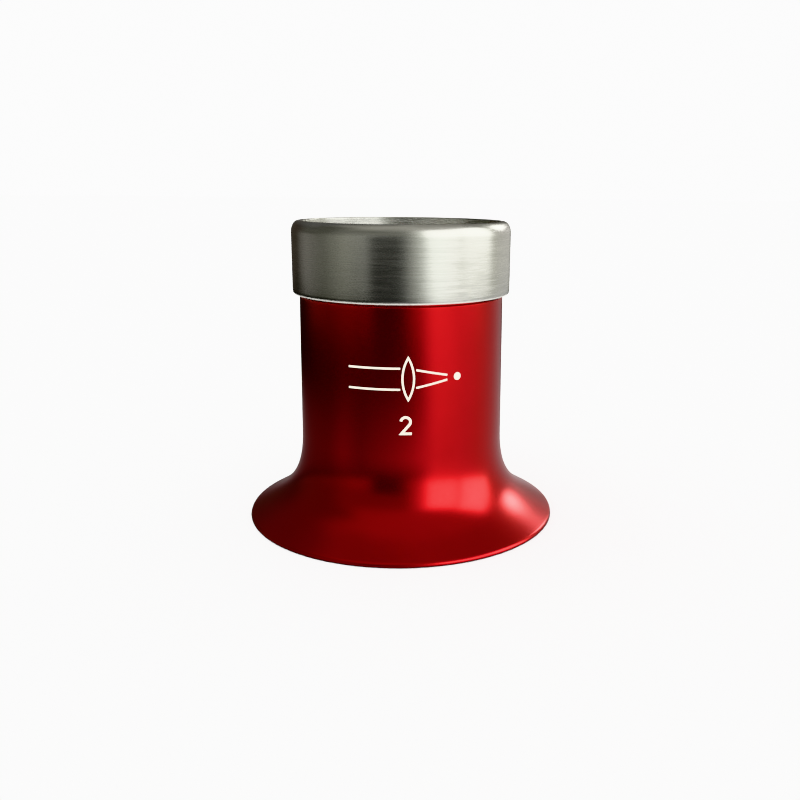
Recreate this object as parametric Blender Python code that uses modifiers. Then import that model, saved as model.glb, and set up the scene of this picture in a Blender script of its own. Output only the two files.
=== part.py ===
"""A watchmaker's eye loupe: a flared eyecup whose lens is held by a screw ring.

Dimensions are in millimetres and become metres when a mesh is made. +Z points
from the eye towards the lens, and the origin is the centre of the eyecup's rim,
on the plane that the rim rests on. Every piece is turned about the Z axis.
"""

import math

import bmesh
import bpy

MM = 0.001
SEGMENTS = 48
MERGE = 0.00001

# Steps along the curved stretches of the outlines
FLARE_STEPS = 14
CAVITY_STEPS = 12
RIM_STEPS = 6
CROWN_STEPS = 7
LENS_STEPS = 6
CORNER_STEPS = 3
O_RING_SIDES = 8

# Eyecup and tube; the tube widens a little from the shoulder down to the neck
RIM_RADIUS = 18.5
RIM_EDGE = 0.12
RIM_ROUND = 0.5
RIM_LEAN = 60
RIM_LAND = 0.98
RIM_CORNER = 0.2
TUBE_RADIUS = 11.92
NECK_RADIUS = 12.05
NECK_HEIGHT = 10.22
BORE_RADIUS = 10.6
EDGE_BREAK = 0.12

# How the flare curves: the reach of each curve's handles from its ends
FLARE_DROP = 6.16
SKIRT_REACH = 4.39
CAVITY_START = 0.5
CAVITY_DROP = 6.7
CAVITY_REACH = 4.1

# Screw ring
OVERALL_HEIGHT = 35.04
RING_HEIGHT = 8.2
RING_RADIUS = 12.7
CROWN_WIDTH = 0.84
CROWN_HEIGHT = 1.31
FOOT_WIDTH = 0.15
FOOT_HEIGHT = 0.48
OPENING_RADIUS = 11.6
RECESS_RADIUS = 11.5
RECESS_DEPTH = 1.25
RECESS_CORNER = 0.3
LIP_RADIUS = 10.1
LIP_THICKNESS = 0.54
LIP_DROP = 0.2
SHOULDER_GAP = 0.27

# Right-hand thread with 60 degree flanks, on the spigot and in the ring
PITCH = 0.75
THREAD_RADIUS = 11.7
THREAD_DEPTH = 0.39
FLANK_ANGLE = 30
ROOT_FLAT = 0.15
RADIAL_PLAY = 0.12
FLANK_PLAY = 0.06
CUTTER_TURNS = 6
CUTTER_OVERRUN = 0.1
CUTTER_START = 0.55

# Spigot, in heights above the shoulder that the ring closes against
SPIGOT_HEIGHT = 5.45
SPIGOT_THREAD = (0.95, 4.5)
UNDERCUT_RADIUS = 11.25

# Inside of the ring, in heights above its foot
RING_THREAD_TOP = 4.13
RING_RELIEF = (4.5, 5.0)
RELIEF_RADIUS = 11.9

# Lens and what holds it, in heights above the rim plane
LENS_RADIUS = 10.7
LENS_EDGE = 2.0
LENS_CURVATURE = 51.7
LENS_BEVEL = 0.12
LENS_HEIGHT = 31.22
POCKET_RADIUS = 10.8
SEAT_RADIUS = 9.7
SEAT_HEIGHT = 29.27
SEAT_THICKNESS = 0.7
O_RING_RADIUS = 10.3
O_RING_SECTION = 0.32
O_RING_HEIGHT = 29.69
WASHER_INNER = 10.15
WASHER_OUTER = 11.2
WASHER_THICKNESS = 0.3
WASHER_HEIGHT = 32.52

RING_BOTTOM = OVERALL_HEIGHT - RING_HEIGHT
SHOULDER = RING_BOTTOM - SHOULDER_GAP
ROOT_RADIUS = THREAD_RADIUS - THREAD_DEPTH
RING_CREST_RADIUS = ROOT_RADIUS + RADIAL_PLAY
RING_ROOT_RADIUS = THREAD_RADIUS + RADIAL_PLAY


def clear_scene():
    for obj in list(bpy.data.objects):
        bpy.data.objects.remove(obj, do_unlink=True)


def make_collection(name):
    collection = bpy.data.collections.new(name)
    bpy.context.scene.collection.children.link(collection)
    return collection


def make_material(name, colour, metallic, roughness, transmission=0.0):
    material = bpy.data.materials.new(name)
    material.use_nodes = True
    shader = material.node_tree.nodes["Principled BSDF"]
    shader.inputs["Base Color"].default_value = (*colour, 1.0)
    shader.inputs["Metallic"].default_value = metallic
    shader.inputs["Roughness"].default_value = roughness
    shader.inputs["Transmission Weight"].default_value = transmission
    return material


def arc(centre, radii, start, end, steps):
    """Points on an elliptical arc; angles in degrees, 0 outwards and 90 up."""
    points = []
    for step in range(steps + 1):
        angle = math.radians(start + (end - start) * step / steps)
        radius = centre[0] + radii[0] * math.cos(angle)
        height = centre[1] + radii[1] * math.sin(angle)
        points.append((radius, height))
    return points


def bezier(first, first_handle, last_handle, last, steps):
    """Points on a cubic curve, with both of its ends."""
    points = []
    for step in range(steps + 1):
        t = step / steps
        s = 1.0 - t
        weights = (s**3, 3 * s * s * t, 3 * s * t * t, t**3)
        controls = (first, first_handle, last_handle, last)
        radius = sum(weight * point[0] for weight, point in zip(weights, controls))
        height = sum(weight * point[1] for weight, point in zip(weights, controls))
        points.append((radius, height))
    return points


def outline_object(name, outline, closed):
    """An object with the outline's points in the XZ plane, joined by edges."""
    vertices = [(radius * MM, 0.0, height * MM) for radius, height in outline]
    edges = [(i, i + 1) for i in range(len(outline) - 1)]
    if closed:
        edges.append((len(outline) - 1, 0))
    mesh = bpy.data.meshes.new(name)
    mesh.from_pydata(vertices, edges, [])
    return bpy.data.objects.new(name, mesh)


def add_screw(obj, pitch=0.0, turns=1):
    screw = obj.modifiers.new("Turn", "SCREW")
    screw.axis = "Z"
    screw.angle = math.tau
    screw.screw_offset = pitch * MM
    screw.iterations = turns
    screw.steps = SEGMENTS
    screw.render_steps = SEGMENTS
    screw.use_merge_vertices = True
    screw.merge_threshold = MERGE
    screw.use_smooth_shade = True


def turned_piece(name, outline, height, material, collection, closed=True):
    """A solid of revolution; its outline runs down the outer side, top to bottom."""
    piece = outline_object(name, outline, closed)
    piece.location.z = height * MM
    piece.data.materials.append(material)
    collection.objects.link(piece)
    add_screw(piece)
    return piece


def flank_run(depth):
    """How far a flank moves along the axis over this radial depth."""
    return depth * math.tan(math.radians(FLANK_ANGLE))


def groove_section(inner, outer, inner_half, outer_half):
    """A trapezoid across a thread groove, from two radii and the half widths there."""
    return [(outer, outer_half), (outer, -outer_half), (inner, -inner_half), (inner, inner_half)]


def thread_cutter(name, section, height, collection):
    """A helical solid that cuts one groove, closed at both of its ends."""
    ribbon = outline_object(name, section, closed=True)
    collection.objects.link(ribbon)
    add_screw(ribbon, PITCH, CUTTER_TURNS)
    depsgraph = bpy.context.evaluated_depsgraph_get()
    mesh = bpy.data.meshes.new_from_object(ribbon.evaluated_get(depsgraph))
    bpy.data.objects.remove(ribbon, do_unlink=True)

    shape = bmesh.new()
    shape.from_mesh(mesh)
    ends = [edge for edge in shape.edges if edge.is_boundary]
    bmesh.ops.holes_fill(shape, edges=ends)
    bmesh.ops.recalc_face_normals(shape, faces=shape.faces)
    shape.to_mesh(mesh)
    shape.free()

    cutter = bpy.data.objects.new(name, mesh)
    cutter.location.z = height * MM
    cutter.hide_render = True
    cutter.display_type = "WIRE"
    collection.objects.link(cutter)
    return cutter


def cut_thread(piece, cutter):
    boolean = piece.modifiers.new("Thread", "BOOLEAN")
    boolean.operation = "DIFFERENCE"
    boolean.solver = "EXACT"
    boolean.object = cutter


def spigot_outline():
    """Outer side of the spigot, from its end face down to the tube."""
    top = SHOULDER + SPIGOT_HEIGHT
    thread_bottom = SHOULDER + SPIGOT_THREAD[0]
    thread_top = SHOULDER + SPIGOT_THREAD[1]
    chamfer = THREAD_RADIUS - UNDERCUT_RADIUS
    return [
        (POCKET_RADIUS + EDGE_BREAK, top),
        (UNDERCUT_RADIUS - EDGE_BREAK, top),
        (UNDERCUT_RADIUS, top - EDGE_BREAK),
        (UNDERCUT_RADIUS, thread_top),
        (THREAD_RADIUS, thread_top - chamfer),
        (THREAD_RADIUS, thread_bottom + chamfer),
        (UNDERCUT_RADIUS, thread_bottom),
        (UNDERCUT_RADIUS, SHOULDER),
        (TUBE_RADIUS - EDGE_BREAK, SHOULDER),
        (TUBE_RADIUS, SHOULDER - EDGE_BREAK),
    ]


def up_the_skirt(point, reach):
    """The point moved up and inwards, along the skirt's slope above the rim."""
    lean = math.radians(RIM_LEAN)
    return (point[0] - reach * math.sin(lean), point[1] + reach * math.cos(lean))


def flare_outline():
    """Outer side of the flare: a concave neck, a sloping skirt and the rounded rim."""
    round_centre = (RIM_RADIUS - RIM_ROUND, RIM_EDGE)
    rim = arc(round_centre, (RIM_ROUND, RIM_ROUND), RIM_LEAN, 0, RIM_STEPS)
    edge_centre = (RIM_RADIUS - RIM_EDGE, RIM_EDGE)
    edge = arc(edge_centre, (RIM_EDGE, RIM_EDGE), 0, -90, CORNER_STEPS)
    flare = bezier(
        (NECK_RADIUS, NECK_HEIGHT),
        (NECK_RADIUS, NECK_HEIGHT - FLARE_DROP),
        up_the_skirt(rim[0], SKIRT_REACH),
        rim[0],
        FLARE_STEPS,
    )
    return flare + rim[1:] + edge[1:]


def cavity_outline():
    """Inner side of the eyecup, from the rim's flat land up to the lens pocket."""
    land_end = RIM_RADIUS - RIM_EDGE - RIM_LAND
    rim_inside = land_end - RIM_CORNER
    bore_bottom = NECK_HEIGHT + CAVITY_START
    outline = arc((land_end, RIM_CORNER), (RIM_CORNER, RIM_CORNER), 270, 180, CORNER_STEPS)
    outline += bezier(
        (rim_inside, RIM_CORNER),
        up_the_skirt((rim_inside, RIM_CORNER), CAVITY_REACH),
        (BORE_RADIUS, bore_bottom - CAVITY_DROP),
        (BORE_RADIUS, bore_bottom),
        CAVITY_STEPS,
    )[1:]
    seat_underside = SEAT_HEIGHT - SEAT_THICKNESS
    outline += [
        (BORE_RADIUS, seat_underside - (BORE_RADIUS - SEAT_RADIUS)),
        (SEAT_RADIUS, seat_underside),
        (SEAT_RADIUS, SEAT_HEIGHT),
        (POCKET_RADIUS, SEAT_HEIGHT),
        (POCKET_RADIUS, SHOULDER + SPIGOT_HEIGHT - EDGE_BREAK),
    ]
    return outline


def ring_outline():
    """Crown, side and foot of the ring, then its thread bore, lip and recess."""
    crown = (RING_RADIUS - CROWN_WIDTH, RING_HEIGHT - CROWN_HEIGHT)
    foot = (RING_RADIUS - FOOT_WIDTH, FOOT_HEIGHT)
    countersink = RELIEF_RADIUS - RING_CREST_RADIUS
    floor = RING_HEIGHT - RECESS_DEPTH
    lip_top = floor - LIP_DROP
    lip_bottom = lip_top - LIP_THICKNESS

    outline = [(OPENING_RADIUS, RING_HEIGHT)]
    outline += arc(crown, (CROWN_WIDTH, CROWN_HEIGHT), 90, 0, CROWN_STEPS)
    outline += arc(foot, (FOOT_WIDTH, FOOT_HEIGHT), 0, -90, CORNER_STEPS)
    outline += [
        (RELIEF_RADIUS, 0.0),
        (RING_CREST_RADIUS, countersink),
        (RING_CREST_RADIUS, RING_THREAD_TOP),
        (RELIEF_RADIUS, RING_RELIEF[0]),
        (RELIEF_RADIUS, RING_RELIEF[1]),
        (RING_CREST_RADIUS, RING_RELIEF[1]),
        (RING_CREST_RADIUS, lip_bottom),
        (LIP_RADIUS + EDGE_BREAK, lip_bottom),
        (LIP_RADIUS, lip_bottom + EDGE_BREAK),
        (LIP_RADIUS, lip_top - EDGE_BREAK),
        (LIP_RADIUS + EDGE_BREAK, lip_top),
    ]
    corner = (RECESS_RADIUS - RECESS_CORNER, floor + RECESS_CORNER)
    outline += arc(corner, (RECESS_CORNER, RECESS_CORNER), 270, 360, CORNER_STEPS)
    outline.append((RECESS_RADIUS, RING_HEIGHT - (OPENING_RADIUS - RECESS_RADIUS)))
    return outline


def lens_outline():
    """Half of the biconvex section, from the upper pole to the lower one."""
    rim_angle = math.degrees(math.asin((LENS_RADIUS - LENS_BEVEL) / LENS_CURVATURE))
    sag = LENS_CURVATURE * (1 - math.cos(math.radians(rim_angle)))
    pole = LENS_EDGE / 2 + LENS_BEVEL + sag
    radii = (LENS_CURVATURE, LENS_CURVATURE)
    upper = arc((0.0, pole - LENS_CURVATURE), radii, 90, 90 - rim_angle, LENS_STEPS)
    lower = [(radius, -height) for radius, height in reversed(upper)]
    edge = [(LENS_RADIUS, LENS_EDGE / 2), (LENS_RADIUS, -LENS_EDGE / 2)]
    return upper + edge + lower


def washer_outline():
    half = WASHER_THICKNESS / 2
    return [
        (WASHER_INNER, half),
        (WASHER_OUTER, half),
        (WASHER_OUTER, -half),
        (WASHER_INNER, -half),
    ]


def add_o_ring(material, collection):
    bpy.ops.mesh.primitive_torus_add(
        major_radius=O_RING_RADIUS * MM,
        minor_radius=O_RING_SECTION * MM,
        major_segments=SEGMENTS,
        minor_segments=O_RING_SIDES,
        location=(0.0, 0.0, O_RING_HEIGHT * MM),
    )
    ring = bpy.context.object
    ring.name = "seat_o_ring"
    ring.data.materials.append(material)
    ring.data.shade_smooth()
    bpy.context.collection.objects.unlink(ring)
    collection.objects.link(ring)


def add_thread(body, ring, collection):
    """Cuts the spigot's groove, and the ring's half a pitch further up."""
    height = SHOULDER + CUTTER_START
    outer = THREAD_RADIUS + CUTTER_OVERRUN
    root_half = ROOT_FLAT / 2
    outer_half = root_half + flank_run(outer - ROOT_RADIUS)
    section = groove_section(ROOT_RADIUS, outer, root_half, outer_half)
    cut_thread(body, thread_cutter("spigot_groove", section, height, collection))

    height -= PITCH / 2
    inner = RING_CREST_RADIUS - CUTTER_OVERRUN
    ridge_half = root_half + flank_run(RADIAL_PLAY) - FLANK_PLAY
    crest_half = PITCH / 2 - ridge_half
    inner_half = crest_half + flank_run(CUTTER_OVERRUN)
    ring_root_half = crest_half - flank_run(RING_ROOT_RADIUS - RING_CREST_RADIUS)
    section = groove_section(inner, RING_ROOT_RADIUS, inner_half, ring_root_half)
    cut_thread(ring, thread_cutter("ring_groove", section, height, collection))


def build():
    clear_scene()
    parts = make_collection("eye_loupe")
    cutters = make_collection("cutters")

    red_anodised = make_material("red_anodised", (0.42, 0.006, 0.012), 1.0, 0.3)
    brushed_metal = make_material("brushed_metal", (0.62, 0.62, 0.59), 1.0, 0.32)
    glass = make_material("glass", (0.95, 0.98, 0.97), 0.0, 0.02, transmission=1.0)
    black_rubber = make_material("black_rubber", (0.02, 0.02, 0.02), 0.0, 0.6)
    dark_washer = make_material("dark_washer", (0.04, 0.04, 0.045), 0.0, 0.5)

    body_outline = spigot_outline() + flare_outline() + cavity_outline()
    body = turned_piece("eyecup_body", body_outline, 0.0, red_anodised, parts)
    ring = turned_piece("screw_ring", ring_outline(), RING_BOTTOM, brushed_metal, parts)
    add_thread(body, ring, cutters)

    turned_piece("lens", lens_outline(), LENS_HEIGHT, glass, parts, closed=False)
    washer_centre = WASHER_HEIGHT + WASHER_THICKNESS / 2
    turned_piece("slip_washer", washer_outline(), washer_centre, dark_washer, parts)
    add_o_ring(black_rubber, parts)


build()
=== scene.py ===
"""Looks of the watchmaker's eye loupe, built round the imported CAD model.

Lengths in the constants are millimetres where no comment says metres, as they
would be on a drawing, and become metres where a mesh is made. The ring, the
shoulder under it and the lens take their places from the frame's boxes.
"""

import math

import bmesh
import bpy
from mathutils import Matrix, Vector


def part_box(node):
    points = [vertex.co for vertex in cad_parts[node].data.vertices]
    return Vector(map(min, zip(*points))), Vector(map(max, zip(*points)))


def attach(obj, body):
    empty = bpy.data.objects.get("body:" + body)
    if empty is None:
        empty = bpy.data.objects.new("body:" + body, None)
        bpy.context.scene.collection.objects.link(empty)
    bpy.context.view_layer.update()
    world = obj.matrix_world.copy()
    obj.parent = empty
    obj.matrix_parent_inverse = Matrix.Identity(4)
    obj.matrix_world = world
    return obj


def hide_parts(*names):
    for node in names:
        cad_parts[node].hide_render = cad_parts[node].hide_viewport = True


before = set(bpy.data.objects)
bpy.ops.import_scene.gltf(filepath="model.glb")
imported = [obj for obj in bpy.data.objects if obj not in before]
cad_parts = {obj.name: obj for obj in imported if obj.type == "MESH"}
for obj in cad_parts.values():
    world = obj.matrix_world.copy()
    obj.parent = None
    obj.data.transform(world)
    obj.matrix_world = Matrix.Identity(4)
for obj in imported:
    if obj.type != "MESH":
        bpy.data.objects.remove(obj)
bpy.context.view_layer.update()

MM = 0.001
SEGMENTS = 192
# The distance within which the turned meshes are merged, in metres
MERGE = 0.000001
# Edges that bend by more degrees than this stay sharp
SHARP_ANGLE = 28

# Steps along the stretches of the outlines
TUBE_STEPS = 8
FLARE_STEPS = 48
RIM_STEPS = 24
CROWN_STEPS = 20
SIDE_STEPS = 6
LENS_STEPS = 24
CORNER_STEPS = 8
BREAK_STEPS = 3
# The largest share of a side that one rounded corner takes
CORNER_SHARE = 0.45

# Camera: its place, how far it looks down and to the right and leans over, in
# degrees, and its lens
CAMERA_PLACE = (0.0, -100.86, 38.78)
CAMERA_DOWN = 14.02
CAMERA_RIGHT = 2.38
CAMERA_TILT = 0.49
CAMERA_LENS = 38.36
CAMERA_SHIFT = -0.0451
# How near and how far it sees, in metres
CLIP_START = 0.005
CLIP_END = 20.0

# Turned profile of the eyecup, radii and lengths as in the CAD model
RIM_RADIUS = 18.5
RIM_EDGE = 0.12
RIM_ROUND = 0.5
RIM_LEAN = 60
RIM_LAND = 0.98
RIM_CORNER = 0.2
TUBE_RADIUS = 11.92
NECK_RADIUS = 12.05
NECK_HEIGHT = 10.22
BORE_RADIUS = 10.6
EDGE_BREAK = 0.12
SHOULDER_OVERLAP = 0.05
SHOULDER_CORNER = 0.04
FLARE_DROP = 6.16
SKIRT_REACH = 4.39
CAVITY_START = 0.5
CAVITY_DROP = 6.7
CAVITY_REACH = 4.1

# Thread
PITCH = 0.75
THREAD_RADIUS = 11.7
THREAD_DEPTH = 0.39
FLANK_ANGLE = 30
ROOT_FLAT = 0.15
RADIAL_PLAY = 0.12
FLANK_PLAY = 0.06
CUTTER_TURNS = 6
CUTTER_OVERRUN = 0.1
CUTTER_START = 0.55

# Spigot, in heights above its shoulder
SPIGOT_HEIGHT = 5.45
SPIGOT_THREAD = (0.95, 4.5)
UNDERCUT_RADIUS = 11.25
POCKET_RADIUS = 10.8
SEAT_RADIUS = 9.7
SEAT_HEIGHT = 29.27
SEAT_THICKNESS = 0.7

# Screw ring, in heights above its foot
CROWN_WIDTH = 0.84
CROWN_HEIGHT = 1.31
FOOT_WIDTH = 0.15
FOOT_HEIGHT = 0.48
OPENING_RADIUS = 11.6
RECESS_RADIUS = 11.5
RECESS_DEPTH = 1.25
RECESS_CORNER = 0.3
LIP_RADIUS = 10.1
LIP_THICKNESS = 0.54
LIP_DROP = 0.2
LIP_CORNER = 0.05
# A point on the slope up to the recess's corner, out and up from the lip
LIP_SLOPE = (0.6, 0.11)
# A gap that keeps two of the outline's points apart
HAIR = 0.001
# Where the recess's corner starts, in degrees
RECESS_START = 280
# Depths under the crown of the last two points up the recess's wall
OPENING_DROPS = (0.4, 0.1)
OPENING_CORNER = 0.05
# Points on the crown's flat, this far out from the opening: where the outline
# starts, and towards which the opening's edge is rounded
OPENING_ENDS = (0.04, 0.03)
# The heights between which the pale painted highlight along the ring's foot gives way to brushed
# metal
FOOT_HIGHLIGHT = (0.1, 0.22)
RING_THREAD_TOP = 4.13
RING_RELIEF = (4.5, 5.0)
RELIEF_RADIUS = 11.9

# Lens
LENS_EDGE = 2.0
LENS_CURVATURE = 51.7
LENS_BEVEL = 0.12

ROOT_RADIUS = THREAD_RADIUS - THREAD_DEPTH
RING_CREST_RADIUS = ROOT_RADIUS + RADIAL_PLAY
RING_ROOT_RADIUS = THREAD_RADIUS + RADIAL_PLAY
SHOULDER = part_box("eyecup_body")[1].z / MM - SPIGOT_HEIGHT
RING_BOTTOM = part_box("screw_ring")[0].z / MM
RING_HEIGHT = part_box("screw_ring")[1].z / MM - RING_BOTTOM
RING_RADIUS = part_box("screw_ring")[1].x / MM


# Outlines ------------------------------------------------------------------


def arc(centre, radii, start, end, steps):
    """Points on an elliptical arc; angles in degrees, 0 outwards and 90 up."""
    points = []
    for step in range(steps + 1):
        angle = math.radians(start + (end - start) * step / steps)
        radius = centre[0] + radii[0] * math.cos(angle)
        height = centre[1] + radii[1] * math.sin(angle)
        points.append((radius, height))
    return points


def bezier(first, first_handle, last_handle, last, steps):
    """Points on a cubic curve, with both of its ends."""
    points = []
    for step in range(steps + 1):
        t = step / steps
        s = 1.0 - t
        weights = (s**3, 3 * s * s * t, 3 * s * t * t, t**3)
        controls = (first, first_handle, last_handle, last)
        radius = sum(weight * point[0] for weight, point in zip(weights, controls))
        height = sum(weight * point[1] for weight, point in zip(weights, controls))
        points.append((radius, height))
    return points


def rounded(points, corner):
    """The open outline with each of its inner corners turned into a small curve."""
    result = [points[0]]
    for before, here, after in zip(points, points[1:], points[2:]):
        pair = []
        for other in (before, after):
            length = math.dist(here, other)
            share = min(corner, CORNER_SHARE * length) / length
            pair.append(tuple(h + (o - h) * share for h, o in zip(here, other)))
        result += bezier(pair[0], here, here, pair[1], BREAK_STEPS)
    result.append(points[-1])
    return result


def flank_run(depth):
    """How far a thread's flank runs along the axis over a depth."""
    return depth * math.tan(math.radians(FLANK_ANGLE))


def up_the_skirt(point, reach):
    """The point moved up and inwards, along the skirt's slope above the rim."""
    lean = math.radians(RIM_LEAN)
    return (point[0] - reach * math.sin(lean), point[1] + reach * math.cos(lean))


def body_outline():
    top = SHOULDER + SPIGOT_HEIGHT
    chamfer = THREAD_RADIUS - UNDERCUT_RADIUS
    land_end = RIM_RADIUS - RIM_EDGE - RIM_LAND
    rim_inside = land_end - RIM_CORNER
    seat_underside = SEAT_HEIGHT - SEAT_THICKNESS

    spigot = [
        (POCKET_RADIUS, top - EDGE_BREAK),
        (POCKET_RADIUS + EDGE_BREAK, top),
        (UNDERCUT_RADIUS - EDGE_BREAK, top),
        (UNDERCUT_RADIUS, top - EDGE_BREAK),
        (UNDERCUT_RADIUS, SHOULDER + SPIGOT_THREAD[1]),
        (THREAD_RADIUS, SHOULDER + SPIGOT_THREAD[1] - chamfer),
        (THREAD_RADIUS, SHOULDER + SPIGOT_THREAD[0] + chamfer),
        (UNDERCUT_RADIUS, SHOULDER + SPIGOT_THREAD[0]),
        (UNDERCUT_RADIUS, SHOULDER),
    ]
    shoulder = rounded(
        [
            (UNDERCUT_RADIUS + SHOULDER_OVERLAP, SHOULDER),
            (TUBE_RADIUS - EDGE_BREAK, SHOULDER),
            (TUBE_RADIUS, SHOULDER - EDGE_BREAK),
            (TUBE_RADIUS, SHOULDER - 4 * EDGE_BREAK),
        ],
        SHOULDER_CORNER,
    )
    tube = []
    for step in range(1, TUBE_STEPS):
        t = step / TUBE_STEPS
        radius = TUBE_RADIUS + t * (NECK_RADIUS - TUBE_RADIUS)
        tube.append((radius, SHOULDER + t * (NECK_HEIGHT - SHOULDER)))
    round_centre = (RIM_RADIUS - RIM_ROUND, RIM_EDGE)
    rim = arc(round_centre, (RIM_ROUND, RIM_ROUND), RIM_LEAN, 0, RIM_STEPS)
    edge_centre = (RIM_RADIUS - RIM_EDGE, RIM_EDGE)
    edge = arc(edge_centre, (RIM_EDGE, RIM_EDGE), 0, -90, CORNER_STEPS)
    flare = bezier(
        (NECK_RADIUS, NECK_HEIGHT),
        (NECK_RADIUS, NECK_HEIGHT - FLARE_DROP),
        up_the_skirt(rim[0], SKIRT_REACH),
        rim[0],
        FLARE_STEPS,
    )
    land = arc((land_end, RIM_CORNER), (RIM_CORNER, RIM_CORNER), 270, 180, CORNER_STEPS)
    bore_bottom = NECK_HEIGHT + CAVITY_START
    cavity = bezier(
        (rim_inside, RIM_CORNER),
        up_the_skirt((rim_inside, RIM_CORNER), CAVITY_REACH),
        (BORE_RADIUS, bore_bottom - CAVITY_DROP),
        (BORE_RADIUS, bore_bottom),
        FLARE_STEPS,
    )[1:]
    bore = [
        (BORE_RADIUS, seat_underside - (BORE_RADIUS - SEAT_RADIUS)),
        (SEAT_RADIUS, seat_underside),
        (SEAT_RADIUS, SEAT_HEIGHT),
        (POCKET_RADIUS, SEAT_HEIGHT),
    ]
    return spigot + shoulder + tube + flare + rim[1:] + edge[1:] + land + cavity + bore


def ring_outline():
    countersink = RELIEF_RADIUS - RING_CREST_RADIUS
    floor = RING_HEIGHT - RECESS_DEPTH
    lip_top = floor - LIP_DROP
    lip_bottom = lip_top - LIP_THICKNESS
    crown = (RING_RADIUS - CROWN_WIDTH, RING_HEIGHT - CROWN_HEIGHT)
    foot = (RING_RADIUS - FOOT_WIDTH, FOOT_HEIGHT)

    outline = [(OPENING_RADIUS + OPENING_ENDS[0], RING_HEIGHT)]
    outline += arc(crown, (CROWN_WIDTH, CROWN_HEIGHT), 90, 0, CROWN_STEPS)
    side = RING_HEIGHT - CROWN_HEIGHT - FOOT_HEIGHT
    for step in range(SIDE_STEPS - 1, 0, -1):
        outline.append((RING_RADIUS, FOOT_HEIGHT + side * step / SIDE_STEPS))
    outline += arc(foot, (FOOT_WIDTH, FOOT_HEIGHT), 0, -90, CORNER_STEPS)
    outline += [
        (RELIEF_RADIUS, 0.0),
        (RING_CREST_RADIUS, countersink),
        (RING_CREST_RADIUS, RING_THREAD_TOP),
        (RELIEF_RADIUS, RING_RELIEF[0]),
        (RELIEF_RADIUS, RING_RELIEF[1]),
        (RING_CREST_RADIUS, RING_RELIEF[1]),
        (RING_CREST_RADIUS, lip_bottom),
        (LIP_RADIUS + EDGE_BREAK, lip_bottom),
    ]
    outline += rounded(
        [
            (LIP_RADIUS + EDGE_BREAK, lip_bottom + HAIR),
            (LIP_RADIUS, lip_bottom + EDGE_BREAK),
            (LIP_RADIUS, lip_top - EDGE_BREAK),
            (LIP_RADIUS + EDGE_BREAK, lip_top),
            (LIP_RADIUS + LIP_SLOPE[0], lip_top + LIP_SLOPE[1]),
        ],
        LIP_CORNER,
    )
    outline += arc(
        (RECESS_RADIUS - RECESS_CORNER, floor + RECESS_CORNER),
        (RECESS_CORNER, RECESS_CORNER),
        RECESS_START,
        360,
        CORNER_STEPS,
    )
    outline += rounded(
        [
            (RECESS_RADIUS, RING_HEIGHT - OPENING_DROPS[0]),
            (RECESS_RADIUS, RING_HEIGHT - OPENING_DROPS[1]),
            (OPENING_RADIUS, RING_HEIGHT),
            (OPENING_RADIUS + OPENING_ENDS[1], RING_HEIGHT),
        ],
        OPENING_CORNER,
    )[:-1]
    return outline


def lens_outline():
    box_low, box_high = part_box("lens")
    radius = box_high.x / MM
    rim_angle = math.degrees(math.asin((radius - LENS_BEVEL) / LENS_CURVATURE))
    pole = (box_high.z - box_low.z) / 2 / MM
    radii = (LENS_CURVATURE, LENS_CURVATURE)
    upper = arc((0.0, pole - LENS_CURVATURE), radii, 90, 90 - rim_angle, LENS_STEPS)
    lower = [(point[0], -point[1]) for point in reversed(upper)]
    edge = [(radius, LENS_EDGE / 2), (radius, -LENS_EDGE / 2)]
    return upper + edge + lower


# Meshes --------------------------------------------------------------------


def outline_object(name, outline, closed):
    vertices = [(radius * MM, 0.0, height * MM) for radius, height in outline]
    edges = [(i, i + 1) for i in range(len(outline) - 1)]
    if closed:
        edges.append((len(outline) - 1, 0))
    mesh = bpy.data.meshes.new(name)
    mesh.from_pydata(vertices, edges, [])
    piece = bpy.data.objects.new(name, mesh)
    bpy.context.scene.collection.objects.link(piece)
    return piece


def add_screw(piece, pitch=0.0, turns=1):
    screw = piece.modifiers.new("Turn", "SCREW")
    screw.axis = "Z"
    screw.angle = math.tau
    screw.screw_offset = pitch * MM
    screw.iterations = turns
    screw.steps = SEGMENTS
    screw.render_steps = SEGMENTS
    screw.use_merge_vertices = True
    screw.merge_threshold = MERGE


def bake_modifiers(piece):
    """Turns what the modifiers make into the piece's own mesh."""
    depsgraph = bpy.context.evaluated_depsgraph_get()
    depsgraph.update()
    mesh = bpy.data.meshes.new_from_object(piece.evaluated_get(depsgraph))
    piece.modifiers.clear()
    piece.data = mesh


def finish_mesh(piece, material):
    piece.data.materials.clear()
    piece.data.materials.append(material)
    piece.data.shade_smooth()
    piece.data.set_sharp_from_angle(angle=math.radians(SHARP_ANGLE))


def thread_cutter(name, section, height):
    cutter = outline_object(name, section, closed=True)
    add_screw(cutter, PITCH, CUTTER_TURNS)
    bake_modifiers(cutter)
    shape = bmesh.new()
    shape.from_mesh(cutter.data)
    bmesh.ops.holes_fill(shape, edges=[edge for edge in shape.edges if edge.is_boundary])
    bmesh.ops.recalc_face_normals(shape, faces=shape.faces)
    shape.to_mesh(cutter.data)
    shape.free()
    cutter.location.z = height * MM
    return cutter


def turned_piece(name, outline, height, material, closed=True, groove=None):
    """A solid of revolution; groove is a thread's section and its starting height."""
    piece = outline_object(name, outline, closed)
    piece.location.z = height * MM
    add_screw(piece)
    if groove:
        cutter = thread_cutter(name + "_groove", *groove)
        boolean = piece.modifiers.new("Thread", "BOOLEAN")
        boolean.operation = "DIFFERENCE"
        boolean.solver = "EXACT"
        boolean.object = cutter
    bake_modifiers(piece)
    if groove:
        bpy.data.objects.remove(cutter, do_unlink=True)
    finish_mesh(piece, material)
    return piece


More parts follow.
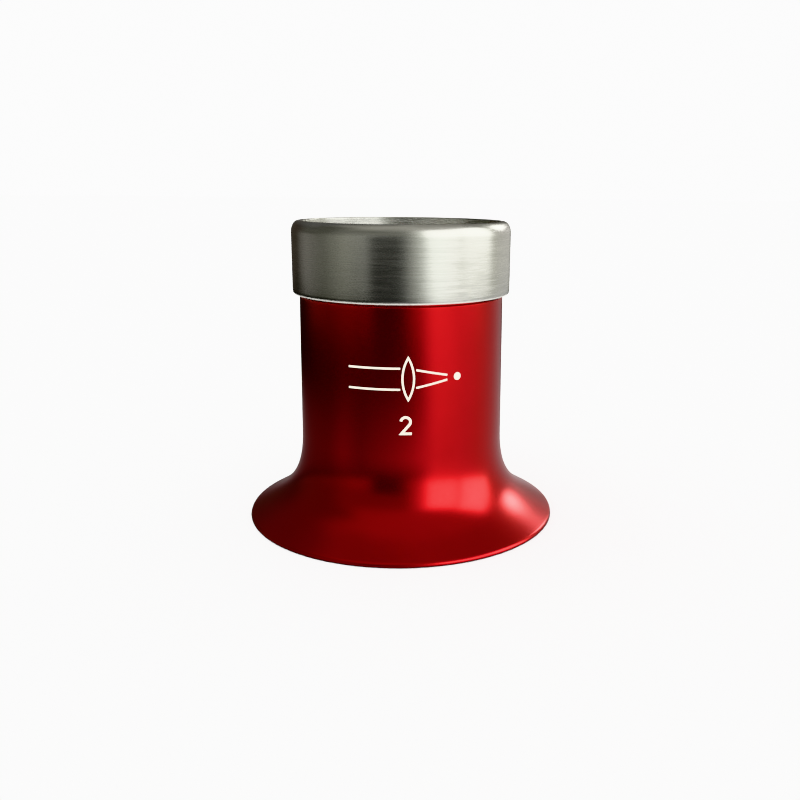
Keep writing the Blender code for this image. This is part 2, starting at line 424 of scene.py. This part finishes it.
def spigot_groove():
    half = ROOT_FLAT / 2
    outer = THREAD_RADIUS + CUTTER_OVERRUN
    outer_half = half + flank_run(outer - ROOT_RADIUS)
    return [(outer, outer_half), (outer, -outer_half), (ROOT_RADIUS, -half), (ROOT_RADIUS, half)]


def ring_groove():
    ridge_half = ROOT_FLAT / 2 + flank_run(RADIAL_PLAY) - FLANK_PLAY
    inner = RING_CREST_RADIUS - CUTTER_OVERRUN
    inner_half = PITCH / 2 - ridge_half + flank_run(CUTTER_OVERRUN)
    outer_half = inner_half - flank_run(RING_ROOT_RADIUS - inner)
    return [
        (RING_ROOT_RADIUS, outer_half),
        (RING_ROOT_RADIUS, -outer_half),
        (inner, -inner_half),
        (inner, inner_half),
    ]


# Materials -----------------------------------------------------------------


# The sockets of a Mix node that mixes colours, by index
MIX_FACTOR = 0
MIX_FIRST = 6
MIX_SECOND = 7
MIX_RESULT = 2
# Most of a noise's values lie in this range, and most of the streaks' in the next
NOISE_RANGE = (0.3, 0.7)
STREAK_RANGE = (0.36, 0.64)
# The share of the broad streaks in the brushing
BROAD_SHARE = 0.35


class Nodes:
    """A material's node tree, with short calls to add and link nodes."""

    def __init__(self, tree):
        self.tree = tree

    def add(self, kind, inputs=None, **settings):
        node = self.tree.nodes.new(kind)
        for key, value in settings.items():
            setattr(node, key, value)
        for key, value in (inputs or {}).items():
            if isinstance(value, bpy.types.NodeSocket):
                self.tree.links.new(value, node.inputs[key])
            else:
                node.inputs[key].default_value = value
        return node

    def math(self, operation, *values):
        return self.add("ShaderNodeMath", dict(enumerate(values)), operation=operation).outputs[0]

    def product(self, *values):
        result = values[0]
        for value in values[1:]:
            result = self.math("MULTIPLY", result, value)
        return result

    def length(self, x, y):
        squares = [self.math("POWER", value, 2.0) for value in (x, y)]
        return self.math("SQRT", self.math("ADD", *squares))

    def span(self, value, low, high, out_low=0.0, out_high=1.0, smooth=False):
        """The value's place between low and high, spread from out_low to out_high."""
        ends = {"From Min": low, "From Max": high, "To Min": out_low, "To Max": out_high}
        node = self.add("ShaderNodeMapRange", {"Value": value, **ends})
        if smooth:
            node.interpolation_type = "SMOOTHSTEP"
        return node.outputs["Result"]

    def blend(self, factor, first, second):
        """Two colours mixed; each is a socket or an RGB triple."""
        inputs = {MIX_FACTOR: factor}
        for index, value in ((MIX_FIRST, first), (MIX_SECOND, second)):
            is_socket = isinstance(value, bpy.types.NodeSocket)
            inputs[index] = value if is_socket else (*value, 1.0)
        return self.add("ShaderNodeMix", inputs, data_type="RGBA").outputs[MIX_RESULT]


def new_material(name, metallic, **settings):
    """A Principled material with its constant values on the shader's own sockets."""
    material = bpy.data.materials.new(name)
    material.use_nodes = True
    nodes = Nodes(material.node_tree)
    shader = material.node_tree.nodes["Principled BSDF"]
    shader.inputs["Metallic"].default_value = metallic
    for key, value in settings.items():
        shader.inputs[key.replace("_", " ")].default_value = value
    return material, nodes, shader


def object_place(nodes, scale):
    """Object coordinates in metres, times a scale."""
    place = nodes.add("ShaderNodeTexCoord").outputs["Object"]
    mapping = nodes.add("ShaderNodeMapping", {"Vector": place, "Scale": (scale,) * 3})
    return mapping.outputs["Vector"]


def noise(nodes, vector, detail=2.0, roughness=0.5):
    inputs = {"Vector": vector, "Scale": 1.0, "Detail": detail, "Roughness": roughness}
    return nodes.add("ShaderNodeTexNoise", inputs).outputs["Fac"]


def turned_streaks(nodes, along, across):
    """Noise drawn out round the Z axis; along and across are a streak's size in metres."""
    place = nodes.add("ShaderNodeTexCoord").outputs["Object"]
    x, y, z = nodes.add("ShaderNodeSeparateXYZ", {"Vector": place}).outputs
    line = nodes.math("ADD", z, nodes.length(x, y))
    vector = nodes.add(
        "ShaderNodeCombineXYZ",
        {
            "X": nodes.math("DIVIDE", x, along),
            "Y": nodes.math("DIVIDE", y, along),
            "Z": nodes.math("DIVIDE", line, across),
        },
    )
    return noise(nodes, vector.outputs["Vector"], detail=3.0, roughness=0.6)


def add_bump(nodes, shader, height, distance):
    """A bump whose full height is the distance, in metres."""
    bump = nodes.add("ShaderNodeBump", {"Height": height, "Strength": 1.0, "Distance": distance})
    nodes.tree.links.new(bump.outputs["Normal"], shader.inputs["Normal"])


def anodised_red():
    """Bead-blasted aluminium under a clear red oxide layer."""
    material, nodes, shader = new_material(
        "anodised_red", 1.0, Coat_Weight=1.0, Coat_Roughness=0.24, Coat_IOR=1.36
    )
    shader.inputs["Specular Tint"].default_value = (0.6, 0.05, 0.05, 1.0)
    cloud = noise(nodes, object_place(nodes, 260.0), detail=3.0)
    grain = noise(nodes, object_place(nodes, 7000.0), detail=1.0)
    shade = nodes.span(cloud, *NOISE_RANGE)
    colour = nodes.blend(shade, (0.455, 0.001, 0.003), (0.485, 0.002, 0.005))
    nodes.tree.links.new(colour, shader.inputs["Base Color"])
    roughness = nodes.span(grain, *NOISE_RANGE, 0.21, 0.27)
    nodes.tree.links.new(roughness, shader.inputs["Roughness"])
    add_bump(nodes, shader, grain, 0.0000025)
    return material


def brushed_metal():
    """Bare metal with fine scratches that run round the axis, and a pale painted highlight along
    its foot.
    """
    material, nodes, shader = new_material(
        "brushed_metal", 1.0, Anisotropic=0.4, Anisotropic_Rotation=0.25
    )
    fine = turned_streaks(nodes, 0.0035, 0.00012)
    broad = turned_streaks(nodes, 0.012, 0.0005)
    fine_part = nodes.math("MULTIPLY", fine, 1.0 - BROAD_SHARE)
    both = nodes.math("MULTIPLY_ADD", broad, BROAD_SHARE, fine_part)
    colour = nodes.blend(nodes.span(both, *STREAK_RANGE), (0.49, 0.49, 0.45), (0.62, 0.62, 0.57))
    # Painted highlight: towards the foot the colour turns pale and the metal matt, so the even
    # room light shows a bright band there
    place = object_place(nodes, 1.0)
    height = nodes.add("ShaderNodeSeparateXYZ", {"Vector": place}).outputs["Z"]
    low, high = (value * MM for value in FOOT_HIGHLIGHT)
    edge = nodes.span(height, high, low, smooth=True)
    colour = nodes.blend(edge, colour, (0.54, 0.53, 0.49))
    nodes.tree.links.new(colour, shader.inputs["Base Color"])
    nodes.tree.links.new(nodes.span(edge, 0.0, 1.0, 1.0, 0.35), shader.inputs["Metallic"])
    nodes.tree.links.new(nodes.span(both, *NOISE_RANGE, 0.22, 0.31), shader.inputs["Roughness"])
    tangent = nodes.add("ShaderNodeTangent", direction_type="RADIAL", axis="Z")
    nodes.tree.links.new(tangent.outputs["Tangent"], shader.inputs["Tangent"])
    add_bump(nodes, shader, both, 0.0000035)
    return material


def optical_glass():
    material, nodes, shader = new_material(
        "optical_glass", 0.0, Roughness=0.0, IOR=1.52, Transmission_Weight=1.0
    )
    shader.inputs["Base Color"].default_value = (0.985, 0.995, 0.99, 1.0)
    return material


def black_rubber():
    material, nodes, shader = new_material("black_rubber", 0.0)
    grain = noise(nodes, object_place(nodes, 9000.0))
    colour = nodes.blend(grain, (0.014, 0.014, 0.015), (0.028, 0.028, 0.03))
    nodes.tree.links.new(colour, shader.inputs["Base Color"])
    nodes.tree.links.new(nodes.span(grain, *NOISE_RANGE, 0.45, 0.65), shader.inputs["Roughness"])
    add_bump(nodes, shader, grain, 0.000004)
    return material


def dark_plastic():
    material, nodes, shader = new_material("dark_plastic", 0.0)
    grain = turned_streaks(nodes, 0.003, 0.00008)
    colour = nodes.blend(grain, (0.03, 0.03, 0.034), (0.055, 0.055, 0.06))
    nodes.tree.links.new(colour, shader.inputs["Base Color"])
    nodes.tree.links.new(nodes.span(grain, *NOISE_RANGE, 0.4, 0.55), shader.inputs["Roughness"])
    return material


def laser_white():
    """The pale matt layer that a marking laser leaves in the oxide."""
    material, nodes, shader = new_material("laser_white", 0.0)
    grain = noise(nodes, object_place(nodes, 14000.0))
    colour = nodes.blend(grain, (0.72, 0.67, 0.57), (0.88, 0.83, 0.73))
    nodes.tree.links.new(colour, shader.inputs["Base Color"])
    nodes.tree.links.new(nodes.span(grain, *NOISE_RANGE, 0.5, 0.7), shader.inputs["Roughness"])
    return material


def floor_paint():
    material, nodes, shader = new_material("floor_paint", 0.0, Roughness=0.6)
    shader.inputs["Base Color"].default_value = (0.9, 0.9, 0.9, 1.0)
    shader.inputs["Specular IOR Level"].default_value = 0.0
    return material


# Stage ---------------------------------------------------------------------

# Brightness of the walls round the object at its own height. Angles are in
# degrees round Z: 0 looks from the object to the camera, positive to its right.
WALLS = [
    (-180, (0.16, 0.15, 0.14)),
    (-160, (0.1, 0.09, 0.08)),
    (-135, (0.11, 0.1, 0.09)),
    (-115, (0.54, 0.52, 0.5)),
    (-85, (0.33, 0.33, 0.3)),
    (-60, (0.74, 0.74, 0.66)),
    (-38, (0.68, 0.68, 0.65)),
    (-24, (0.52, 0.53, 0.53)),
    (2, (0.24, 0.25, 0.25)),
    (12, (0.66, 0.66, 0.62)),
    (24, (1.05, 1.1, 1.02)),
    (38, (1.05, 1.25, 1.08)),
    (52, (0.44, 0.45, 0.34)),
    (100, (0.52, 0.52, 0.42)),
    (125, (0.85, 0.85, 0.79)),
    (150, (0.7, 0.7, 0.65)),
    (164, (0.16, 0.15, 0.14)),
    (180, (0.16, 0.15, 0.14)),
]
CEILING = (0.5, 0.49, 0.46)
# The elevations between which the walls turn into the ceiling
WALL_TOP = (25.0, 50.0)
# The even light on matt surfaces, through the glass and wherever no floor is seen
ROOM_LIGHT = 2.6
# Patches on the walls: azimuth from and to, elevation from and to, soft edge, colour
LEFT_WALL = (-148, -92, 0, 28, 9, (0.09, 0.075, 0.07))
RIGHT_WALL = (112, 156, -3, 30, 7, (0.72, 0.69, 0.67))
UPPER_LEFT = (-125, -60, 0, 54, 12, (0.16, 0.16, 0.147))
UPPER_FRONT = (-72, 8, 2, 42, 12, (0.27, 0.27, 0.25))
UPPER_BACK = (-195, -112, 20, 62, 10, (0.17, 0.17, 0.17))
LEFT_ABOVE = (-200, -85, 62, 100, 10, (0.32, 0.31, 0.29))
RIGHT_ABOVE = (95, 200, 66, 100, 10, (0.4, 0.39, 0.37))
UPPER_RIGHT = (104, 160, 38, 72, 10, (0.36, 0.35, 0.33))
LEFT_PANE = (25, 63, -3, 41, 5, (2.85, 2.85, 2.85))
RIGHT_PANE = (65, 104, -3, 42, 5, (3.2, 3.2, 3.2))
# Later patches lie over earlier ones
PATCHES = (
    LEFT_WALL,
    RIGHT_WALL,
    UPPER_LEFT,
    UPPER_FRONT,
    UPPER_BACK,
    UPPER_RIGHT,
    LEFT_ABOVE,
    RIGHT_ABOVE,
    LEFT_PANE,
    RIGHT_PANE,
)
# A round lamp: its azimuth, elevation, radius and soft edge, then its colour
LAMP = (132, 20.5, 5.5, 6, (17.0, 17.0, 17.0))

# The pale floor that is seen. Its side is in metres; its height, just below the
# object, is in millimetres
FLOOR_SIZE = 6.0
FLOOR_HEIGHT = -0.05

# The dark card that stands in front of the object, left of the camera
CARD_PLACE = (-29.0, -104.0)
CARD_SIZE = (90.0, 36.0)
CARD_COLOUR = (0.055, 0.055, 0.06)
# Widths over which its sides and its top fade out
CARD_LEFT_FADE = 24.0
CARD_RIGHT_FADE = 26.0
CARD_TOP_FADE = 5.0

# The table that the object mirrors: its brightness round the object, at the same
# angles as the walls, and the dim zone close to the rim
TABLE_SIZE = 400.0
TABLE_HEIGHT = -0.1
TABLE = [
    (-180, 0.6),
    (-168, 1.5),
    (-160, 1.0),
    (-152, 0.38),
    (-136, 0.29),
    (-122, 0.21),
    (-100, 0.18),
    (-78, 0.18),
    (-60, 0.34),
    (-41, 0.2),
    (-24, 0.34),
    (-7, 0.47),
    (8, 0.64),
    (20, 0.9),
    (32, 1.08),
    (46, 0.98),
    (90, 0.78),
    (120, 0.68),
    (142, 0.6),
    (154, 0.25),
    (160, 0.05),
    (172, 0.05),
    (180, 0.6),
]
TABLE_SHADE = (18.3, 20.5)
SHADE_LEVEL = 0.15
# How much brighter or dimmer the table is in the distance, at the same angles, and
# the radii between which that sets in
FAR_START = (35.0, 100.0)
FAR = [
    (-180, 0.6),
    (-160, 0.06),
    (-130, 0.08),
    (-100, 0.1),
    (-10, 0.06),
    (5, 0.06),
    (20, 0.22),
    (34, 1.25),
    (52, 1.3),
    (70, 1.05),
    (180, 1.0),
]


def patch_mask(nodes, azimuth, elevation, patch):
    """One inside the patch and zero outside it, with a soft edge."""
    low_a, high_a, low_e, high_e, edge, _ = patch
    parts = [
        nodes.span(azimuth, low_a - edge, low_a + edge, smooth=True),
        nodes.span(azimuth, high_a + edge, high_a - edge, smooth=True),
        nodes.span(elevation, low_e - edge, low_e + edge, smooth=True),
        nodes.span(elevation, high_e + edge, high_e - edge, smooth=True),
    ]
    return nodes.product(*parts)


def ramp_round(nodes, azimuth, stops):
    """A value or colour that runs round the object through the stops' angles."""
    ramp = nodes.add("ShaderNodeValToRGB", {"Fac": nodes.span(azimuth, -180.0, 180.0)})
    elements = ramp.color_ramp.elements
    elements.remove(elements[0])
    for index, (angle, colour) in enumerate(stops):
        place = (angle + 180) / 360
        stop = elements.new(place) if index else elements[0]
        stop.position = place
        stop.color = (*colour, 1.0)
    return ramp.outputs["Color"]


def azimuth_of(nodes, x, y):
    """Degrees round Z, from the direction to the camera and positive to its right."""
    angle = nodes.math("ARCTAN2", x, nodes.math("MULTIPLY", y, -1.0))
    return nodes.math("MULTIPLY", angle, 180.0 / math.pi)


def add_lamp(nodes, direction, seen):
    """A round soft spot of light, laid over what is seen of the walls."""
    azimuth, elevation, radius, edge, colour = LAMP
    turn, lift = math.radians(azimuth), math.radians(elevation)
    centre = (math.sin(turn) * math.cos(lift), -math.cos(turn) * math.cos(lift), math.sin(lift))
    product = nodes.add("ShaderNodeVectorMath", {0: direction, 1: centre}, operation="DOT_PRODUCT")
    apart = nodes.math("ARCCOSINE", product.outputs["Value"])
    low, high = math.radians(radius + edge), math.radians(radius - edge)
    return nodes.blend(nodes.span(apart, low, high, smooth=True), seen, colour)


def add_world():
    world = bpy.data.worlds.new("studio")
    bpy.context.scene.world = world
    world.use_nodes = True
    world.node_tree.nodes.clear()
    nodes = Nodes(world.node_tree)
    direction = nodes.add("ShaderNodeTexCoord").outputs["Generated"]
    x, y, z = nodes.add("ShaderNodeSeparateXYZ", {"Vector": direction}).outputs
    azimuth = azimuth_of(nodes, x, y)
    elevation = nodes.math("MULTIPLY", nodes.math("ARCSINE", z), 180.0 / math.pi)

    walls = ramp_round(nodes, azimuth, WALLS)
    mirrored = nodes.blend(nodes.span(elevation, *WALL_TOP, smooth=True), walls, CEILING)
    for patch in PATCHES:
        mask = patch_mask(nodes, azimuth, elevation, patch)
        mirrored = nodes.blend(mask, mirrored, patch[-1])
    mirrored = add_lamp(nodes, direction, mirrored)

    path = nodes.add("ShaderNodeLightPath").outputs
    seen = mirrored
    for kind in ("Is Diffuse Ray", "Is Transmission Ray", "Is Camera Ray"):
        seen = nodes.blend(path[kind], seen, (ROOM_LIGHT,) * 3)
    background = nodes.add("ShaderNodeBackground", {"Color": seen, "Strength": 1.0})
    output = nodes.add("ShaderNodeOutputWorld")
    nodes.tree.links.new(background.outputs[0], output.inputs["Surface"])


def glow_material(name):
    material = bpy.data.materials.new(name)
    material.use_nodes = True
    material.node_tree.nodes.clear()
    nodes = Nodes(material.node_tree)
    emission = nodes.add("ShaderNodeEmission")
    output = nodes.add("ShaderNodeOutputMaterial")
    nodes.tree.links.new(emission.outputs[0], output.inputs["Surface"])
    return material, nodes, emission, output


def show_only_in_reflections(plane):
    plane.visible_camera = False
    plane.visible_diffuse = False
    plane.visible_transmission = False
    plane.visible_shadow = False
    plane.visible_volume_scatter = False


def add_card():
    centre = (CARD_PLACE[0] * MM, CARD_PLACE[1] * MM, CARD_SIZE[1] / 2 * MM)
    bpy.ops.mesh.primitive_plane_add(size=MM, location=centre, rotation=(math.pi / 2, 0.0, 0.0))
    card = bpy.context.object
    card.name = "dark_card"
    card.scale = (*CARD_SIZE, 1.0)
    material, nodes, emission, output = glow_material("dark_card")
    emission.inputs["Color"].default_value = (*CARD_COLOUR, 1.0)
    place = nodes.add("ShaderNodeTexCoord").outputs["Object"]
    across, up, _ = nodes.add("ShaderNodeSeparateXYZ", {"Vector": place}).outputs
    # The plane's own coordinates stay those of its mesh, one millimetre wide
    side = MM / 2
    width, height = (size / MM for size in CARD_SIZE)
    left = nodes.span(across, -side, CARD_LEFT_FADE / width - side, smooth=True)
    right = nodes.span(across, side, side - CARD_RIGHT_FADE / width, smooth=True)
    top = nodes.span(up, side, side - CARD_TOP_FADE / height, smooth=True)
    cover = nodes.product(left, right, top)
    clear = nodes.add("ShaderNodeBsdfTransparent").outputs[0]
    mix = nodes.add("ShaderNodeMixShader", {0: cover, 1: clear, 2: emission.outputs[0]})
    nodes.tree.links.new(mix.outputs[0], output.inputs["Surface"])
    card.data.materials.append(material)
    show_only_in_reflections(card)


def add_mirrored_table():
    bpy.ops.mesh.primitive_plane_add(size=TABLE_SIZE * MM, location=(0.0, 0.0, TABLE_HEIGHT * MM))
    table = bpy.context.object
    table.name = "mirrored_table"
    material, nodes, emission, _ = glow_material("mirrored_table")
    place = nodes.add("ShaderNodeTexCoord").outputs["Object"]
    x, y, _ = nodes.add("ShaderNodeSeparateXYZ", {"Vector": place}).outputs
    radius = nodes.length(x, y)
    azimuth = azimuth_of(nodes, x, y)
    level = ramp_round(nodes, azimuth, [(angle, (value,) * 3) for angle, value in TABLE])
    gain = ramp_round(nodes, azimuth, [(angle, (value,) * 3) for angle, value in FAR])
    low, high = (value * MM for value in TABLE_SHADE)
    shade = nodes.span(radius, low, high, SHADE_LEVEL, 1.0, smooth=True)
    low, high = (value * MM for value in FAR_START)
    distance = nodes.span(radius, low, high, smooth=True)
    far = nodes.math("MULTIPLY_ADD", distance, nodes.math("SUBTRACT", gain, 1.0), 1.0)
    strength = nodes.product(level, shade, far)
    nodes.tree.links.new(strength, emission.inputs["Strength"])
    table.data.materials.append(material)
    show_only_in_reflections(table)


def add_floor():
    bpy.ops.mesh.primitive_plane_add(size=FLOOR_SIZE, location=(0.0, 0.0, FLOOR_HEIGHT * MM))
    floor = bpy.context.object
    floor.name = "floor"
    floor.data.materials.append(floor_paint())
    floor.visible_glossy = False


def add_camera():
    data = bpy.data.cameras.new("camera")
    camera = bpy.data.objects.new("camera", data)
    bpy.context.scene.collection.objects.link(camera)
    turn = Matrix.Rotation(math.radians(-CAMERA_RIGHT), 3, "Z")
    look = Matrix.Rotation(math.radians(90.0 - CAMERA_DOWN), 3, "X")
    tilt = Matrix.Rotation(math.radians(CAMERA_TILT), 3, "Z")
    camera.matrix_world = (turn @ look @ tilt).to_4x4()
    camera.location = [value * MM for value in CAMERA_PLACE]
    data.lens = CAMERA_LENS
    data.shift_x = CAMERA_SHIFT
    data.clip_start = CLIP_START
    data.clip_end = CLIP_END
    bpy.context.scene.camera = camera


# Marks ---------------------------------------------------------------------

# The marks are strokes round the front of the tube. A place is how far to the
# right and how high a mark's middle is
DIGIT_SIZE = (1.3, 2.1)
DIGIT_STROKE = 0.27
DIGIT_PLACE = (0.42, 13.72)
# The hook's arc, from and to in degrees, and its steps
DIGIT_HOOK = (170, -32, 18)
DIGIT_HEEL = 0.05
DIAGRAM_STROKE = 0.2
DIAGRAM_PLACE = (0.7, 18.85)
LENS_HALF_HEIGHT = 2.3
LENS_BULGE = 0.62
LENS_SIDE_STEPS = 16
RAY_HEIGHT = 1.15
RAY_START = -6.6
FOCUS = 5.6
FOCUS_DOT = 0.42
# The rays stop short of the glass, in stroke widths, and of the dot, in its radii
RAY_GAP = 1.2
DOT_GAP = 3
DOT_CORNERS = 24
MARK_PROUD = 0.012
MARK_DEPTH = 0.02
# The longest step along a stroke
MARK_STEP = 0.12


def digit_stroke():
    """The figure two: a hook, a slope down to the left, and a foot."""
    width, height = DIGIT_SIZE
    radius = 0.5 * width - 0.5 * DIGIT_STROKE
    top = 0.5 * height - 0.5 * DIGIT_STROKE - radius
    hook = arc((0.0, top), (radius, radius), *DIGIT_HOOK)
    left = -0.5 * width + 0.5 * DIGIT_STROKE
    foot = -0.5 * height + 0.5 * DIGIT_STROKE
    return hook + [(left + DIGIT_HEEL, foot), (0.5 * width, foot)]


def lens_stroke():
    """A biconvex lens seen from its side, as one closed stroke."""
    bend = (LENS_HALF_HEIGHT**2 - LENS_BULGE**2) / (2 * LENS_BULGE)
    radius = bend + LENS_BULGE
    half_angle = math.degrees(math.asin(LENS_HALF_HEIGHT / radius))
    right = arc((-bend, 0.0), (radius, radius), half_angle, -half_angle, LENS_SIDE_STEPS)
    left = arc((bend, 0.0), (radius, radius), 180 + half_angle, 180 - half_angle, LENS_SIDE_STEPS)
    return right + left[1:-1]


def ray_strokes():
    """Two parallel rays that the lens bends to its focus."""
    gap = LENS_BULGE + RAY_GAP * DIAGRAM_STROKE
    strokes = []
    for side in (1, -1):
        height = side * RAY_HEIGHT
        strokes.append([(RAY_START, height), (-gap, height)])
        drop = height * (FOCUS - gap) / FOCUS
        end = FOCUS - DOT_GAP * FOCUS_DOT
        strokes.append([(gap, drop), (end, height * (FOCUS - end) / FOCUS)])
    return strokes


def resampled(points, closed):
    """The stroke's points with more between them, no further apart than a step."""
    pairs = list(zip(points, points[1:]))
    if closed:
        pairs.append((points[-1], points[0]))
    result = []
    for start, end in pairs:
        count = max(1, math.ceil(math.dist(start, end) / MARK_STEP))
        for step in range(count):
            t = step / count
            result.append((start[0] + t * (end[0] - start[0]), start[1] + t * (end[1] - start[1])))
    if not closed:
        result.append(points[-1])
    return result


def stroke_sides(points, width, closed):
    """Points at both sides of a stroke, mitred at its corners."""
    count = len(points)
    sides = []
    for index, (x, y) in enumerate(points):
        before = points[index - 1] if closed or index > 0 else points[index]
        after = points[(index + 1) % count] if closed or index < count - 1 else points[index]
        first = (x - before[0], y - before[1])
        last = (after[0] - x, after[1] - y)
        first_length, last_length = math.hypot(*first), math.hypot(*last)
        if not first_length:
            first, first_length = last, last_length
        if not last_length:
            last, last_length = first, first_length
        middle = (
            -first[1] / first_length - last[1] / last_length,
            first[0] / first_length + last[0] / last_length,
        )
        share = middle[0] ** 2 + middle[1] ** 2
        offset = (middle[0] * width / share, middle[1] * width / share)
        sides.append(((x + offset[0], y + offset[1]), (x - offset[0], y - offset[1])))
    return sides


def tube_radius_at(height):
    t = (SHOULDER - height) / (SHOULDER - NECK_HEIGHT)
    return TUBE_RADIUS + t * (NECK_RADIUS - TUBE_RADIUS)


def wrapped(point, place, proud):
    """A flat point laid round the front of the tube."""
    height = place[1] + point[1]
    radius = tube_radius_at(height) + proud
    angle = (place[0] + point[0]) / TUBE_RADIUS
    return (radius * math.sin(angle) * MM, -radius * math.cos(angle) * MM, height * MM)


def add_stroke(shape, points, width, place, closed=False):
    """A thin closed solid along one stroke, with its face just proud of the tube."""
    rings = []
    for left, right in stroke_sides(resampled(points, closed), width, closed):
        corners = [
            wrapped(left, place, MARK_PROUD),
            wrapped(right, place, MARK_PROUD),
            wrapped(right, place, -MARK_DEPTH),
            wrapped(left, place, -MARK_DEPTH),
        ]
        rings.append([shape.verts.new(corner) for corner in corners])
    pairs = list(zip(rings, rings[1:]))
    if closed:
        pairs.append((rings[-1], rings[0]))
    else:
        shape.faces.new(rings[0])
        shape.faces.new(reversed(rings[-1]))
    for here, following in pairs:
        for corner in range(4):
            along = (corner + 1) % 4
            shape.faces.new((here[corner], here[along], following[along], following[corner]))


def add_disc(shape, centre, radius, place):
    """A thin round dot, with its face just proud of the tube."""
    rim = arc(centre, (radius, radius), 0, 360, DOT_CORNERS)[:-1]
    upper = [shape.verts.new(wrapped(point, place, MARK_PROUD)) for point in rim]
    lower = [shape.verts.new(wrapped(point, place, -MARK_DEPTH)) for point in rim]
    shape.faces.new(upper)
    shape.faces.new(reversed(lower))
    for index in range(len(rim)):
        following = (index + 1) % len(rim)
        shape.faces.new((upper[index], lower[index], lower[following], upper[following]))


def mark_piece(name, shape, material):
    bmesh.ops.recalc_face_normals(shape, faces=shape.faces)
    mesh = bpy.data.meshes.new(name)
    shape.to_mesh(mesh)
    shape.free()
    piece = bpy.data.objects.new(name, mesh)
    bpy.context.scene.collection.objects.link(piece)
    mesh.materials.append(material)
    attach(piece, "eyecup")


def add_marks():
    """The focal number, and a plain diagram of a lens that brings rays to a focus."""
    white = laser_white()
    shape = bmesh.new()
    add_stroke(shape, digit_stroke(), DIGIT_STROKE, DIGIT_PLACE)
    mark_piece("focal_number", shape, white)

    shape = bmesh.new()
    add_stroke(shape, lens_stroke(), DIAGRAM_STROKE, DIAGRAM_PLACE, closed=True)
    for stroke in ray_strokes():
        add_stroke(shape, stroke, DIAGRAM_STROKE, DIAGRAM_PLACE)
    add_disc(shape, (FOCUS, 0.0), FOCUS_DOT, DIAGRAM_PLACE)
    mark_piece("lens_diagram", shape, white)


# Object --------------------------------------------------------------------


def add_piece(piece, body, slot, *nodes):
    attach(piece, body)
    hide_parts(*nodes)


def dress_frame():
    """The inner rings keep their CAD shapes and get their materials."""
    for node, material in (("seat_o_ring", black_rubber()), ("slip_washer", dark_plastic())):
        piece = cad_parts[node]
        piece.data.materials.clear()
        piece.data.materials.append(material)


def add_object():
    groove_start = SHOULDER + CUTTER_START
    body = turned_piece(
        "eyecup", body_outline(), 0.0, anodised_red(), groove=(spigot_groove(), groove_start)
    )
    add_piece(body, "eyecup", "red_anodised", "eyecup_body")

    ring = turned_piece(
        "clamp_ring",
        ring_outline(),
        RING_BOTTOM,
        brushed_metal(),
        groove=(ring_groove(), groove_start - PITCH / 2),
    )
    add_piece(ring, "ring", "brushed_metal", "screw_ring")

    box_low, box_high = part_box("lens")
    centre = (box_low.z + box_high.z) / 2 / MM
    lens = turned_piece("magnifier", lens_outline(), centre, optical_glass(), closed=False)
    add_piece(lens, "eyecup", "optical_glass", "lens")


add_camera()
add_world()
add_floor()
add_card()
add_mirrored_table()
add_object()
add_marks()
dress_frame()
bpy.context.scene.view_settings.view_transform = "Khronos PBR Neutral"
